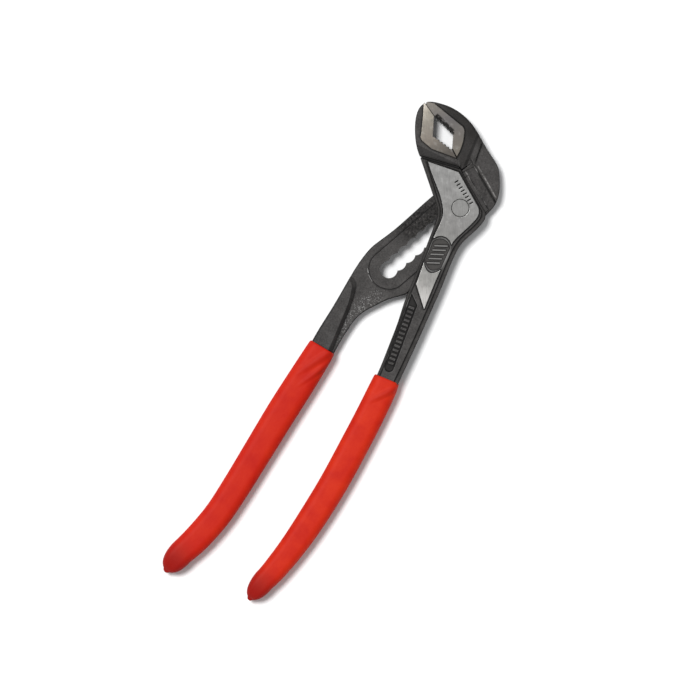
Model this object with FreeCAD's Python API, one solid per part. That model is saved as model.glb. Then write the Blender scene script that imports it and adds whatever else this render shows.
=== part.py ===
import FreeCAD, Part

import math
import os

from FreeCAD import Vector

# Tongue and groove pliers, jaws closed on the first notch, lying on their side.
# Millimetres. The origin is on the pin's axis at the underside, +Y towards the jaws, +Z up,
# and the outer leg (the box half) is the one at +X. Everything is mirrored about the mid-plane.

# Levels, as half thicknesses about the mid-plane
PLATEAU_HALF = 5.3
MID = PLATEAU_HALF
CROWN_HALF = 4.75
LEDGE_HALF = 4.2
VALLEY_HALF = 3.3
JAW_HALF = 4.0
PLATE_HALF = 4.35
WINDOW_HALF = 2.5
PAD_HALF = 2.35
WEB_HALF = 2.0
BAR_HALF = 3.6
HEAD_HALF = 3.45
CORE_HALF = 3.7
CUT_HALF = 8.0
FAR = 90.0

# Pin and scalloped slot
PIN_R = 4.0
BORE_R = 4.05
PIN_BREAK = 0.16
FLAT_HALF = 2.9
NOTCHES = 9
NOTCH_R = 4.05
SLOT_TRAVEL = 43.4
SLOT_DIR = (0.397, 0.918)
SLOT_SIDE = (0.918, -0.397)
PAD_R = 9.3
HINGE_OPEN = 45.0

# Clear way for the tongue through the box: distances from the pin's axis
LEG_CLEAR = 14.2
ROOT_CLEAR = 13.3
TONGUE_LEFT = 12.4

# Jaws
PARTING_GAP = 0.08
TOOTH_COUNT = 6
TOOTH_DEPTH = 0.75
TOOTH_LEAN = 0.35
UPPER_TOOTH_ANGLE = 73.0
LOWER_TOOTH_ANGLE = -101.0
ACROSS_PARTING = (0.45, 0.9)

# The straight upper edge of the box: its normal's angle, and distances from the pin's axis
EDGE_ANGLE = 56.0
PAD_EDGE = 11.0

# How far a sharp corner may run ahead of its edges when a ring is moved inwards
SHARPEST = 0.5

# Edge profiles, as (half thickness, inset) from the parting line outwards
BODY_PROFILE = [(3.3, 0.0), (3.95, 0.15), (LEDGE_HALF, 0.5)]
CROWN_PROFILE = [(LEDGE_HALF - 0.1, 0.0), (CROWN_HALF, 0.55)]
PLATEAU_PROFILE = [(LEDGE_HALF - 0.1, 0.0), (4.6, 0.05), (PLATEAU_HALF, 0.45)]
JAW_PROFILE = [(2.9, 0.0), (3.7, 0.3), (JAW_HALF, 0.9)]
PLATE_PROFILE = [(3.9, 0.0), (PLATE_HALF, 0.12)]
HEAD_PROFILE = [(2.4, 0.0), (3.3, 0.3), (3.8, 1.0)]
WEB_PROFILE = [(1.3, 0.0), (WEB_HALF, 0.45)]
PAD_PROFILE = [(1.8, 0.0), (PAD_HALF, 0.35)]

# Leg cores inside the sleeves, and the sleeves' walls
WALL_TOP = 1.1
WALL_END = 1.9
NOSE_STEPS = 5
NOSE_LAST = 0.985
LIP = 0.3
LIP_ROLL = [(0.0, LIP), (0.3, 0.4 * LIP), (1.0, 0.08 * LIP)]
CORNER_PART = 0.62

# Sleeve stations from the top down: x, y and half width, then the point of the tip
BOX_GRIP = [(4.2, -85.6, 6.1), (4.5, -92.0, 6.5), (4.5, -105.0, 6.65), (4.1, -120.0, 6.72),
            (3.2, -140.0, 6.65), (1.2, -160.0, 6.48), (-1.3, -176.0, 6.0), (-4.3, -189.0, 5.5),
            (-6.0, -194.0, 5.2)]
BOX_TIP = (-8.3, -204.5)
TONGUE_GRIP = [(-29.0, -85.4, 6.45), (-29.6, -92.0, 6.75), (-31.0, -105.0, 7.0), (-32.7, -120.0, 7.05),
               (-34.6, -140.0, 6.85), (-36.5, -160.0, 6.65), (-38.6, -176.0, 6.5), (-42.3, -190.0, 6.35),
               (-46.0, -199.5, 5.95)]
TONGUE_TIP = (-48.7, -209.8)

# Points where the jaws part, from the tip to the heel
TIP_PART = (-35.7, 36.3)
MOUTH_TOP = (-29.4, 32.9)
MOUTH_LEFT = (-26.1, 24.8)
MOUTH_RIGHT = (-17.6, 28.8)
MOUTH_HEEL = (-15.2, 22.8)
HEEL_PART = (-11.5, 20.1)
HEEL = (-7.4, 16.5)


def turned(angle):
    return (math.cos(math.radians(angle)), math.sin(math.radians(angle)))


def along(base, direction, distance):
    return (base[0] + direction[0] * distance, base[1] + direction[1] * distance)


def slot_point(travel, side=0.0):
    """A point given by its place along the slot's axis and its offset to the slot's right."""
    return along(along((0.0, 0.0), SLOT_DIR, travel), SLOT_SIDE, side)


def edge_point(distance, offset):
    """Where a line parallel to the box's straight edge meets a line parallel to the slot."""
    normal = turned(EDGE_ANGLE)
    lean = SLOT_DIR[0] * normal[0] + SLOT_DIR[1] * normal[1]
    sideways = SLOT_SIDE[0] * normal[0] + SLOT_SIDE[1] * normal[1]
    return slot_point((distance - offset * sideways) / lean, offset)


def polygon(points):
    """A ring of straight runs."""
    closed = points + points[:1]
    return [[closed[i], closed[i + 1]] for i in range(len(points))]


def ring_wire(ring, z):
    edges = []
    for run in ring:
        points = [Vector(x, y, z) for x, y in run]
        if len(points) == 2:
            edges.append(Part.LineSegment(points[0], points[1]).toShape())
        else:
            curve = Part.BSplineCurve()
            curve.interpolate(points)
            edges.append(curve.toShape())
    return Part.Wire(edges)


def inset_ring(ring, depth):
    """The same ring with every point moved inwards. Rings run anticlockwise."""
    points = [point for run in ring for point in run[:-1]]
    moved = []
    for i, point in enumerate(points):
        before = points[i - 1]
        after = points[(i + 1) % len(points)]
        length_in = math.dist(before, point)
        length_out = math.dist(point, after)
        side_in = ((before[1] - point[1]) / length_in, (point[0] - before[0]) / length_in)
        side_out = ((point[1] - after[1]) / length_out, (after[0] - point[0]) / length_out)
        spread = 1.0 + side_in[0] * side_out[0] + side_in[1] * side_out[1]
        reach = depth / max(spread, SHARPEST)
        moved.append((point[0] + (side_in[0] + side_out[0]) * reach,
                      point[1] + (side_in[1] + side_out[1]) * reach))
    moved.append(moved[0])
    new_ring = []
    start = 0
    for run in ring:
        new_ring.append(moved[start:start + len(run)])
        start += len(run) - 1
    return new_ring


def stack(ring, profile):
    """A solid symmetrical about the mid-plane whose edge follows the profile."""
    wires = [ring_wire(inset_ring(ring, inset), MID - half) for half, inset in reversed(profile)]
    wires += [ring_wire(inset_ring(ring, inset), MID + half) for half, inset in profile]
    return Part.makeLoft(wires, True, True)


def slab(ring, half):
    face = Part.Face(ring_wire(ring, MID - half))
    return face.extrude(Vector(0, 0, 2 * half))


def upper_slab(ring, low, high):
    face = Part.Face(ring_wire(ring, MID + low))
    return face.extrude(Vector(0, 0, high - low))


def both_faces(solid):
    """The solid and its mirror image below the mid-plane."""
    return [solid, solid.mirror(Vector(0, 0, MID), Vector(0, 0, 1))]


def ramp_cut(start, end, width, low, high):
    """What a slope leaves free above it; it climbs to the right of the line from start to end."""
    length = math.dist(start, end)
    run = Vector((end[0] - start[0]) / length, (end[1] - start[1]) / length, 0)
    uphill = Vector(run.y, -run.x, 0) * width
    base = Vector(start[0], start[1], MID)
    foot = Vector(0, 0, low)
    crest = Vector(0, 0, high)
    top = Vector(0, 0, CUT_HALF)
    face = Part.Face(Part.makePolygon([base + foot, base + uphill + crest, base + uphill + top,
                                       base + top, base + foot]))
    return face.extrude(run * length)


def united(solids):
    return solids[0].multiFuse(solids[1:]).removeSplitter()


def teeth(start, end, into):
    """Straight-sided teeth along a jaw's edge, cut towards the given side."""
    points = []
    step = ((end[0] - start[0]) / TOOTH_COUNT, (end[1] - start[1]) / TOOTH_COUNT)
    for i in range(TOOTH_COUNT):
        points.append(along(start, step, i))
        points.append(along(along(start, step, i + TOOTH_LEAN), into, TOOTH_DEPTH))
    points.append(end)
    return points


def section(centre, direction, half_width, half_height):
    """A round-cornered section across a leg that runs along the given direction."""
    round_r = CORNER_PART * min(half_width, half_height)
    flat = half_width - round_r
    rise = half_height - round_r
    lean = round_r * math.sqrt(0.5)
    turns = ((1, 1), (-1, 1), (-1, -1), (1, -1))
    corners = []
    for i, (side, up) in enumerate(turns):
        wide = (side * half_width, up * rise)
        high = (side * flat, up * half_height)
        middle = (side * (flat + lean), up * (rise + lean))
        corners.append((wide, middle, high) if i % 2 == 0 else (high, middle, wide))
    placed = [[Vector(centre[0] - direction[1] * across, centre[1] + direction[0] * across, MID + up)
               for across, up in corner] for corner in corners]
    edges = []
    for i, corner in enumerate(placed):
        edges.append(Part.Arc(*corner).toShape())
        edges.append(Part.LineSegment(corner[2], placed[(i + 1) % len(placed)][0]).toShape())
    return Part.Wire(edges)


def station_direction(stations, tip, i):
    before = stations[max(i - 1, 0)]
    after = stations[i + 1] if i + 1 < len(stations) else tip
    length = math.dist(before[:2], after[:2])
    return ((after[0] - before[0]) / length, (after[1] - before[1]) / length)


def sleeve_blank(stations, tip):
    """The outside of a dipped sleeve: a rolled lip at the top and a round nose at the tip."""
    wires = []
    first = station_direction(stations, tip, 0)
    for drop, thin in LIP_ROLL:
        centre = along(stations[0][:2], first, drop)
        wires.append(section(centre, first, stations[0][2] - thin, PLATEAU_HALF - thin))
    for i in range(1, len(stations)):
        direction = station_direction(stations, tip, i)
        wires.append(section(stations[i][:2], direction, stations[i][2], PLATEAU_HALF))
    last = stations[-1]
    nose = math.dist(last[:2], tip)
    direction = ((tip[0] - last[0]) / nose, (tip[1] - last[1]) / nose)
    for i in range(1, NOSE_STEPS + 1):
        part = NOSE_LAST * math.sin(0.5 * math.pi * i / NOSE_STEPS)
        shrink = math.sqrt(1.0 - part * part)
        centre = along(last[:2], direction, nose * part)
        wires.append(section(centre, direction, last[2] * shrink, PLATEAU_HALF * shrink))
    return Part.makeLoft(wires, True, True)


def leg_core(stations, tip):
    """The steel inside a sleeve, ending where the sleeve's nose begins."""
    wires = []
    for i in range(len(stations)):
        wall = WALL_TOP + (WALL_END - WALL_TOP) * i / (len(stations) - 1)
        direction = station_direction(stations, tip, i)
        wires.append(section(stations[i][:2], direction, stations[i][2] - wall, CORE_HALF))
    return Part.makeLoft(wires, True, True)


# ---- outlines of the box half, each anticlockwise ----

LEG_LEFT = [(-14.2, 0.35), (-11.6, -2.2), (-9.3, -4.9), (-8.0, -7.5), (-7.3, -10.8), (-7.05, -14.5),
            (-6.7, -18.2), (-6.0, -25.6), (-5.3, -33.0), (-4.8, -42.0), (-4.2, -50.0), (-2.95, -58.5),
            (-1.9, -69.6), (-1.2, -78.0), (-0.7, -88.0)]
LEG_RIGHT = [(9.85, -88.0), (9.56, -70.0), (8.9, -50.0), (8.07, -33.0), (7.4, -24.0), (7.35, -18.2),
             (7.9, -14.0), (9.2, -10.4), (10.9, -6.2), (12.1, -2.4), (12.4, 0.4), (11.7, 2.6), (9.6, 4.4)]
BOX_RING = [LEG_LEFT,
            [LEG_LEFT[-1], LEG_RIGHT[0]],
            LEG_RIGHT,
            [LEG_RIGHT[-1], (-5.56, 14.6)],
            [(-5.56, 14.6), (-7.6, 16.2)],
            [(-7.6, 16.2), (-26.6, 12.8)],
            [(-26.6, 12.8), LEG_LEFT[0]]]
JAW_A_RING = [[(-36.3, 35.9), (-37.15, 33.6), (-36.6, 28.3), (-34.9, 24.0), (-32.6, 19.8), (-29.9, 16.1),
               (-27.3, 13.5)],
              [(-27.3, 13.5), (-8.1, 16.9)],
              [(-8.1, 16.9), (-6.0, 20.0)],
              [(-6.0, 20.0), (-14.0, 26.0)],
              [(-14.0, 26.0), (-28.0, 36.5)],
              [(-28.0, 36.5), (-36.3, 37.5)],
              [(-36.3, 37.5), (-36.3, 35.9)]]
ROOT_RING = polygon([(-31.0, 18.6), (-26.4, 13.2), (-20.0, 7.2), (-9.0, 7.2), (-8.6, 17.2), (-12.0, 19.4)])
PLATE_A_RING = [[(-36.2, 35.6), (-34.4, 31.3), (-32.6, 26.4), (-31.2, 22.6)],
                [(-31.2, 22.6), (-30.6, 21.0), (-29.2, 20.0)],
                [(-29.2, 20.0), (-23.7, 18.6)],
                [(-23.7, 18.6), (-11.3, 19.8)],
                [(-11.3, 19.8), (-10.6, 22.0)],
                [(-10.6, 22.0), (-28.0, 37.0)],
                [(-28.0, 37.0), (-36.2, 37.5)],
                [(-36.2, 37.5), (-36.2, 35.6)]]
PLATEAU_RING = [[(-23.3, 12.9), (-14.1, 3.7), (-10.1, -0.35), (-7.9, -3.2), (-6.4, -5.8), (-5.85, -8.2),
                 (-5.6, -12.0), (-5.2, -18.6)],
                [(-5.2, -18.6), (-3.0, -16.4), (-0.6, -15.5), (1.8, -16.0), (4.0, -17.8)],
                [(4.0, -17.8), (4.35, -15.4), (5.85, -10.8), (7.3, -7.2), (8.9, -2.6), (9.35, 0.4),
                 (8.6, 2.9), (6.4, 5.0)],
                [(6.4, 5.0), (-7.8, 14.9)],
                [(-7.8, 14.9), (-23.3, 12.9)]]
LOWER_PLATEAU_RING = [[(-4.4, -29.2), (-3.9, -35.0), (-3.3, -40.6)],
                      [(-3.3, -40.6), (5.7, -49.8)],
                      [(5.7, -49.8), (5.1, -38.0), (4.5, -29.0)],
                      [(4.5, -29.0), (2.6, -31.2), (0.2, -32.5), (-2.2, -31.4), (-4.4, -29.2)]]
CROWN_RING = [[(-24.2, 13.0), (-13.4, 1.3)],
              [(-13.4, 1.3), (-10.7, -1.6), (-8.4, -4.4), (-7.0, -7.3), (-6.25, -10.7), (-5.95, -14.5),
               (-5.6, -18.2), (-4.9, -25.6), (-4.2, -33.0), (-3.7, -42.0), (-3.1, -50.0), (-1.85, -58.5),
               (-0.8, -69.6), (-0.1, -78.0), (0.4, -87.0)],
              [(0.4, -87.0), (7.9, -87.0)],
              [(7.9, -87.0), (7.75, -70.0), (7.1, -50.0), (6.3, -33.0), (5.7, -24.0), (5.65, -18.2),
               (6.2, -13.8), (7.6, -9.8), (9.3, -5.6), (10.4, -2.0), (10.7, 0.4), (10.1, 2.5), (8.4, 4.2)],
              [(8.4, 4.2), (-7.3, 15.3)],
              [(-7.3, 15.3), (-24.2, 13.0)]]

# Wide ground beyond the parting line, and the reach of the way through the box
BEYOND_PARTING = [(-2.0, 22.0), (-2.0, 45.0), (-42.0, 45.0)]
WINDOW_REACH = [(-40.0, -60.0), (30.0, -60.0), (30.0, 24.0), (-40.0, 24.0)]

# Recesses on the outer leg
BAND_HALF = 4.55
BAND_RING = [[(-4.6, -19.6), (-3.0, -17.2), (-0.6, -16.2), (1.8, -16.7), (3.9, -18.6)],
             [(3.9, -18.6), (4.2, -28.6)],
             [(4.2, -28.6), (2.6, -30.6), (0.2, -31.8), (-2.2, -30.8), (-4.0, -28.8)],
             [(-4.0, -28.8), (-4.6, -19.6)]]
BAND_RIBS = 5
BAND_RIB_HALF = 0.32
BAND_RIB_REACH = 3.1
BAND_RIB_FIRST = (-0.3, -19.6)
BAND_RIB_STEP = (0.06, -2.15)
BAND_RIB_ANGLE = 24.0
RIB_RISE = 0.3
PANEL_TOP = (-0.5, -47.0)
PANEL_END = (2.75, -80.4)
PANEL_HALF_WIDTH = 2.2
PANEL_HALF = 4.2
PANEL_RIBS = 14
PANEL_RIB_HALF = 0.5
PANEL_RIB_REACH = 1.35
TICKS = 8
TICK_FIRST = (-6.9, 10.2)
TICK_LAST = (3.5, 4.2)
TICK_HALF = 0.26
TICK_REACH = 0.95
TICK_DEPTH = 0.2


def bar_ring(centre, direction, reach, half_width):
    """A small straight bar about a point, long in the given direction."""
    side = (-direction[1], direction[0])
    near = along(centre, direction, -reach)
    far = along(centre, direction, reach)
    return polygon([along(near, side, -half_width), along(far, side, -half_width),
                    along(far, side, half_width), along(near, side, half_width)])


def panel_ring():
    """An oblong down the outer leg: a slanting top that follows the ground face, a round end."""
    length = math.dist(PANEL_TOP, PANEL_END)
    down = ((PANEL_END[0] - PANEL_TOP[0]) / length, (PANEL_END[1] - PANEL_TOP[1]) / length)
    right = (-down[1], down[0])
    low_left = along(PANEL_END, right, -PANEL_HALF_WIDTH)
    low_right = along(PANEL_END, right, PANEL_HALF_WIDTH)
    bottom = along(PANEL_END, down, PANEL_HALF_WIDTH)
    high_left = along(along(PANEL_TOP, right, -PANEL_HALF_WIDTH), down, -PANEL_HALF_WIDTH)
    high_right = along(along(PANEL_TOP, right, PANEL_HALF_WIDTH), down, PANEL_HALF_WIDTH)
    lean = PANEL_HALF_WIDTH * math.sqrt(0.5)
    shoulder = along(PANEL_END, down, lean)
    corners = [along(shoulder, right, -lean), along(shoulder, right, lean)]
    return [[high_left, low_left], [low_left, corners[0], bottom, corners[1], low_right],
            [low_right, high_right], [high_right, high_left]], down, right


def leg_recesses(solid):
    """The ribbed band, the ribbed panel and the row of ticks, on both faces."""
    cuts = both_faces(upper_slab(BAND_RING, BAND_HALF, CUT_HALF))
    ring, down, right = panel_ring()
    cuts += both_faces(upper_slab(ring, PANEL_HALF, CUT_HALF))
    tick_line = ((TICK_LAST[0] - TICK_FIRST[0]) / (TICKS - 1), (TICK_LAST[1] - TICK_FIRST[1]) / (TICKS - 1))
    for i in range(TICKS):
        ring = bar_ring(along(TICK_FIRST, tick_line, i), turned(EDGE_ANGLE), TICK_REACH, TICK_HALF)
        cuts += both_faces(upper_slab(ring, PLATEAU_HALF - TICK_DEPTH, CUT_HALF))
    solid = solid.cut(Part.makeCompound(cuts))
    ribs = []
    for i in range(BAND_RIBS):
        centre = along(BAND_RIB_FIRST, BAND_RIB_STEP, i)
        ring = bar_ring(centre, turned(BAND_RIB_ANGLE), BAND_RIB_REACH, BAND_RIB_HALF)
        ribs += both_faces(upper_slab(ring, BAND_HALF - RIB_RISE, BAND_HALF + RIB_RISE))
    pitch = math.dist(PANEL_TOP, PANEL_END) / (PANEL_RIBS + 2)
    for i in range(PANEL_RIBS):
        centre = along(PANEL_TOP, down, pitch * (i + 2))
        ring = bar_ring(centre, right, PANEL_RIB_REACH, PANEL_RIB_HALF)
        ribs += both_faces(upper_slab(ring, PANEL_HALF - RIB_RISE, PANEL_HALF + RIB_RISE))
    return united([solid] + ribs)


def mating_line(gap, tooth_side):
    """The jaws' working edge from the tip to the heel, moved to one side of the parting line."""
    shift = (ACROSS_PARTING[0] * gap, ACROSS_PARTING[1] * gap)
    tip_far = along(TIP_PART, (TIP_PART[0] - MOUTH_TOP[0], TIP_PART[1] - MOUTH_TOP[1]), 1.0)
    line = [along(tip_far, shift, 1.0), along(MOUTH_TOP, shift, 1.0)]
    if tooth_side > 0:
        line += teeth(along(MOUTH_TOP, shift, 1.0), MOUTH_RIGHT, turned(UPPER_TOOTH_ANGLE))[1:]
    else:
        line += teeth(MOUTH_LEFT, along(MOUTH_HEEL, shift, 1.0), turned(LOWER_TOOTH_ANGLE))
    if tooth_side > 0:
        line.append(along(MOUTH_HEEL, shift, 1.0))
    line += [along(HEEL_PART, shift, 1.0), along(HEEL, shift, 1.0)]
    return line


def jaw_a_cut():
    """What the lower jaw leaves free: the upper jaw's side of the parting line."""
    line = mating_line(-PARTING_GAP, -1)
    return slab(polygon(line + BEYOND_PARTING), CUT_HALF)


def wedge(angles, distance):
    """The slab of space that lies beyond a distance from the pin in each of the two directions."""
    solids = []
    for angle in angles:
        normal = turned(angle)
        side = (-normal[1], normal[0])
        foot = along((0.0, 0.0), normal, distance)
        top = along((0.0, 0.0), normal, distance + FAR)
        ring = polygon([along(foot, side, -FAR), along(top, side, -FAR),
                        along(top, side, FAR), along(foot, side, FAR)])
        solids.append(slab(ring, WINDOW_HALF))
    return solids[0].common(solids[1])


def box_window():
    """The way through the box for the tongue, at every angle of the hinge."""
    side_angle = math.degrees(math.atan2(SLOT_SIDE[1], SLOT_SIDE[0]))
    leg_side = wedge([side_angle, side_angle - HINGE_OPEN], LEG_CLEAR)
    root_side = wedge([side_angle + 180.0, side_angle + 180.0 - HINGE_OPEN], ROOT_CLEAR)
    return slab(polygon(WINDOW_REACH), WINDOW_HALF).cut(leg_side).cut(root_side)


def box_half():
    """The outer forging: lower jaw, slotted box with two cheeks, outer leg."""
    jaw = united([stack(JAW_A_RING, JAW_PROFILE), stack(PLATE_A_RING, PLATE_PROFILE)])
    jaw = jaw.cut(jaw_a_cut())
    body = united([stack(BOX_RING, BODY_PROFILE), stack(CROWN_RING, CROWN_PROFILE),
                   stack(PLATEAU_RING, PLATEAU_PROFILE), stack(LOWER_PLATEAU_RING, PLATEAU_PROFILE)])
    root = slab(ROOT_RING, VALLEY_HALF).cut(jaw_a_cut())
    body = leg_recesses(body)
    body = united([body, jaw, root, leg_core(BOX_GRIP, BOX_TIP)])
    body = body.cut(box_window())
    bore = Part.makeCylinder(BORE_R, 2 * CUT_HALF, Vector(0, 0, MID - CUT_HALF))
    mouth = Part.makeCone(BORE_R, BORE_R + PIN_BREAK, PIN_BREAK, Vector(0, 0, MID + PLATEAU_HALF - PIN_BREAK))
    return body.cut(Part.makeCompound([bore] + both_faces(mouth)))


# ---- outlines of the tongue half, each anticlockwise ----

HEAD_BACK = [(13.4, 6.0), (13.85, 9.4), (13.6, 12.2), (12.7, 15.4), (11.3, 18.6), (9.5, 21.8), (7.4, 24.6),
             (4.4, 26.8), (1.5, 28.5), (-1.9, 30.6), (-5.0, 32.8), (-9.0, 35.5), (-14.1, 38.1), (-19.0, 39.5),
             (-24.6, 40.0), (-29.5, 39.4), (-33.7, 38.25), (-35.3, 37.3)]
LEG_OUTER = [(-13.7, 0.0), (-18.2, -10.8), (-21.2, -18.2), (-24.3, -25.0), (-27.0, -30.1), (-28.9, -34.2),
             (-30.2, -39.0), (-31.2, -45.0), (-31.8, -52.0), (-32.9, -67.0), (-34.0, -77.0), (-34.6, -88.0)]
LEG_INNER = [(-23.1, -88.0), (-22.7, -80.0), (-21.9, -72.0), (-20.6, -66.0), (-18.0, -61.0), (-14.8, -56.7),
             (-11.6, -52.6), (-8.4, -49.7), (-4.8, -46.2)]
TONGUE_RIGHT = [LEG_INNER[-1], slot_point(-38.0, 13.4), slot_point(-30.0, 12.9), slot_point(-20.0, 12.2),
                slot_point(-8.0, 11.5), slot_point(-1.5, 11.3), (12.3, 2.6), HEAD_BACK[0]]
WEB_RING = [LEG_OUTER,
            [LEG_OUTER[-1], LEG_INNER[0]],
            LEG_INNER,
            TONGUE_RIGHT,
            HEAD_BACK,
            [HEAD_BACK[-1], (-35.9, 33.0)],
            [(-35.9, 33.0), (-15.6, 20.0)],
            [(-15.6, 20.0), (-9.0, 14.6)],
            [(-9.0, 14.6), LEG_OUTER[0]]]
HEAD_RING = [HEAD_BACK[1:],
             [HEAD_BACK[-1], (-35.9, 33.0)],
             [(-35.9, 33.0), (-15.6, 20.0)],
             [(-15.6, 20.0), (-7.0, 15.6)],
             [(-7.0, 15.6), (-6.1, 15.6)],
             [(-6.1, 15.6), (-2.6, 20.4)],
             [(-2.6, 20.4), HEAD_BACK[1]]]
PLATE_B_RING = [[(-11.8, 19.0), (-11.7, 25.4), (-12.4, 29.2), (-13.4, 32.0)],
                [(-13.4, 32.0), (-14.3, 33.6), (-16.2, 34.5)],
                [(-16.2, 34.5), (-31.9, 38.2)],
                [(-31.9, 38.2), (-35.2, 37.4)],
                [(-35.2, 37.4), (-35.9, 33.0)],
                [(-35.9, 33.0), (-14.5, 19.0)],
                [(-14.5, 19.0), (-11.8, 19.0)]]
BAR_FOOT = [[(-31.75, -50.6), (-32.3, -59.0), (-32.9, -67.0), (-34.0, -77.0), (-34.6, -88.0)],
            [(-34.6, -88.0), (-24.0, -88.0)],
            [(-24.0, -88.0), (-24.3, -80.7), (-24.9, -72.0), (-25.7, -61.0), (-26.9, -54.9)],
            [(-26.9, -54.9), (-28.5, -51.6), (-31.75, -50.6)]]
BAR_CROWN = [[(-31.1, -52.4), (-31.5, -59.0), (-32.1, -67.0), (-33.1, -77.0), (-33.7, -88.0)],
             [(-33.7, -88.0), (-26.0, -88.0)],
             [(-26.0, -88.0), (-26.1, -80.7), (-26.6, -72.0), (-27.4, -61.0), (-28.5, -56.2)],
             [(-28.5, -56.2), (-29.6, -53.6), (-31.1, -52.4)]]

# Slopes on the head, each climbing to the right of a low line: start, end, width, low and high level
STEP_TOP = (-4.4, 34.0)
STEP_LOW = (-2.8, 20.4)
BEYOND_HEAD = [(20.0, 5.0), (20.0, 40.0)]
HEAD_RAMPS = [((-4.9, 38.0), (-2.4, 17.0), 3.2, HEAD_HALF + 0.12, JAW_HALF),
              ((-2.3, 20.2), (-8.0, 12.6), 5.2, PAD_HALF, JAW_HALF)]

# Below the heel and out past the lower jaw
HEEL_EDGE = 15.0
HEEL_DROP = -1.0
BEYOND_MOUTH = [(-14.6, -1.0), (-45.0, -1.0), (-45.0, 36.0)]
BAR_SINK = 0.4


def mouth_side_cut():
    """What the upper jaw leaves free: the lower jaw's side of the parting line and the box's heel."""
    line = mating_line(PARTING_GAP, 1)
    foot = [edge_point(HEEL_EDGE, -TONGUE_LEFT), slot_point(HEEL_DROP, -TONGUE_LEFT)]
    return slab(polygon(line + foot + BEYOND_MOUTH), CUT_HALF)


def head_cuts():
    """The lower flat behind the jaw and the slopes down from the jaw, on both faces."""
    flat = polygon([STEP_LOW] + BEYOND_HEAD + [STEP_TOP])
    cuts = both_faces(upper_slab(flat, HEAD_HALF, CUT_HALF))
    for ramp in HEAD_RAMPS:
        cuts += both_faces(ramp_cut(*ramp))
    return Part.makeCompound(cuts)


def slot_cut():
    """The row of notches that makes the scalloped slot."""
    holes = []
    for i in range(NOTCHES):
        x, y = slot_point(-SLOT_TRAVEL * i / (NOTCHES - 1))
        holes.append(Part.makeCylinder(NOTCH_R, 2 * CUT_HALF, Vector(x, y, MID - CUT_HALF)))
    return united(holes)


def pad():
    """The machined pad round the slot: round below, cut off along the box's edge above."""
    low_left = slot_point(-SLOT_TRAVEL, -PAD_R)
    low_right = slot_point(-SLOT_TRAVEL, PAD_R)
    high_left = edge_point(PAD_EDGE, -PAD_R)
    high_right = edge_point(PAD_EDGE, PAD_R)
    bottom = slot_point(-SLOT_TRAVEL - PAD_R)
    lean = PAD_R * math.sqrt(0.5)
    ring = [[low_left, slot_point(-SLOT_TRAVEL - lean, -lean), bottom,
             slot_point(-SLOT_TRAVEL - lean, lean), low_right],
            [low_right, high_right], [high_right, high_left], [high_left, low_left]]
    return stack(ring, PAD_PROFILE)


def bar():
    """The thick bar along the inner leg, with a steep inner side and a rounded outer edge."""
    levels = [(BAR_FOOT, WEB_HALF - BAR_SINK), (BAR_FOOT, WEB_HALF), (BAR_CROWN, BAR_HALF)]
    wires = [ring_wire(ring, MID - half) for ring, half in reversed(levels)]
    wires += [ring_wire(ring, MID + half) for ring, half in levels]
    return Part.makeLoft(wires, True, True)


def tongue_half():
    """The inner forging: upper jaw and head, thin tongue with its slot, inner leg."""
    head = united([stack(HEAD_RING, HEAD_PROFILE), stack(PLATE_B_RING, PLATE_PROFILE)])
    head = head.cut(head_cuts())
    body = united([stack(WEB_RING, WEB_PROFILE), pad(), head, bar(), leg_core(TONGUE_GRIP, TONGUE_TIP)])
    body = body.cut(mouth_side_cut())
    return body.cut(slot_cut())


def joint_pin():
    """The flush pin: round in the cheeks, two flats along the slot where the tongue runs."""
    pin = Part.makeCylinder(PIN_R, 2 * PLATEAU_HALF)
    pin = pin.makeChamfer(PIN_BREAK, [edge for edge in pin.Edges if isinstance(edge.Curve, Part.Circle)])
    cuts = []
    for side in (1.0, -1.0):
        centre = slot_point(0.0, side * (FLAT_HALF + PIN_R))
        cuts.append(slab(bar_ring(centre, SLOT_DIR, 2 * PIN_R, PIN_R), WINDOW_HALF))
    return pin.cut(Part.makeCompound(cuts))


def main():
    os.makedirs("parts", exist_ok=True)
    outer = box_half()
    inner = tongue_half()
    nodes = {
        "box_half": outer,
        "tongue_half": inner,
        "joint_pin": joint_pin(),
        "box_grip": sleeve_blank(BOX_GRIP, BOX_TIP).cut(outer),
        "tongue_grip": sleeve_blank(TONGUE_GRIP, TONGUE_TIP).cut(inner),
    }
    for name, shape in nodes.items():
        solids = shape.Solids
        print(name, "solids", len(solids), "valid", shape.isValid(), "volume", round(shape.Volume, 1))
        solids[0].exportStep("parts/" + name + ".step")


main()
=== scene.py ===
import math

import bmesh
import bpy
from mathutils import Matrix, Vector


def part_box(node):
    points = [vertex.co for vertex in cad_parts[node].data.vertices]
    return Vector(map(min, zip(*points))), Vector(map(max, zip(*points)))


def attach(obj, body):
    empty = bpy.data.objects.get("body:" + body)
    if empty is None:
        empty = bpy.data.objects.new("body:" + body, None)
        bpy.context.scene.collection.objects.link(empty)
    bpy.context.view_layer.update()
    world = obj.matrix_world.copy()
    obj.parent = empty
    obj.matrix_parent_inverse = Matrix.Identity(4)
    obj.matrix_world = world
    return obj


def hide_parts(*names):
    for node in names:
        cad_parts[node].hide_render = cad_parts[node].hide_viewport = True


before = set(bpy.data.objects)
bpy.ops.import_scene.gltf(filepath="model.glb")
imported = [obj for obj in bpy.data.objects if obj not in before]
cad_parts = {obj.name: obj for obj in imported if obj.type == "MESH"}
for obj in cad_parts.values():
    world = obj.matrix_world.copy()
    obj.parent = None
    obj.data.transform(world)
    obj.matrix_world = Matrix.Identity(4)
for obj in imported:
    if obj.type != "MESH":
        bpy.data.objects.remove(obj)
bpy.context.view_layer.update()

# Tongue and groove pliers: two black forged halves, ground faces and red dipped sleeves.
# Metres throughout; MM turns the maker's millimetres into metres.
MM = 0.001
BOX_LOW, BOX_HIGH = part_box("box_half")
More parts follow.
